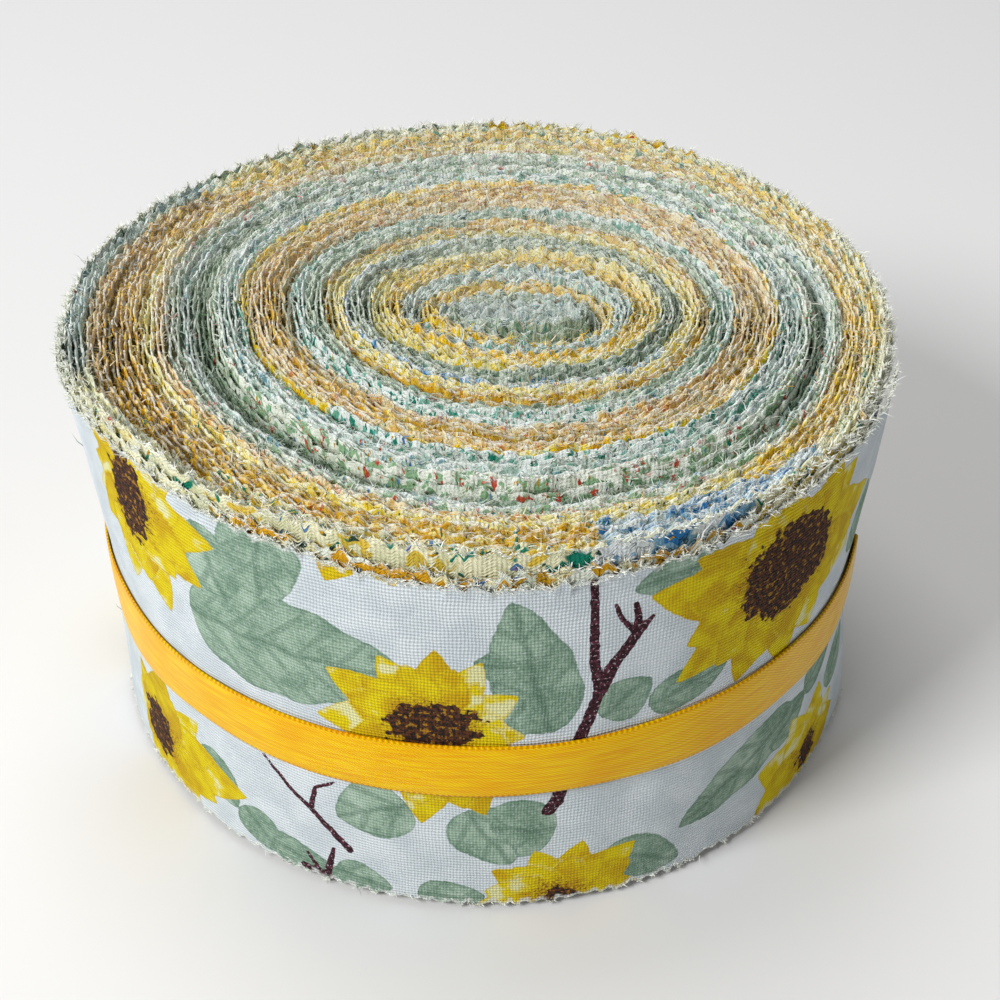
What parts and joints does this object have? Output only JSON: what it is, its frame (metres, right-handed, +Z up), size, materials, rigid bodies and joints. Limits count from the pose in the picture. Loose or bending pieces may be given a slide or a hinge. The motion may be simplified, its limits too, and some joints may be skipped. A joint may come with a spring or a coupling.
{
  "type": "roll of precut fabric strips",
  "caption": "Fat round roll of long pinked-edge printed cotton strips wound one over another, standing on its strip edges and tied round its middle with a narrow yellow satin ribbon.",
  "frame": {"origin": "on the flat underside where the roll stands, on the axis of the roll's outline", "axes": "+Z up along the roll's axis and across the strips' width; -Y is the front, the side seen in the picture; +X is to the right of the front"},
  "size_m": [0.1196, 0.1194, 0.0679],
  "materials": {
    "printed_cotton": "matte woven cotton, pale ground with a printed sunflower and leaf pattern, pinked and frayed at its long edges",
    "yellow_satin": "smooth golden yellow satin ribbon with woven edges"
  },
  "bodies": {
    "root": {"wound_roll": "printed_cotton", "loose_end": "printed_cotton", "ribbon": "yellow_satin"}
  },
  "joints": []
}
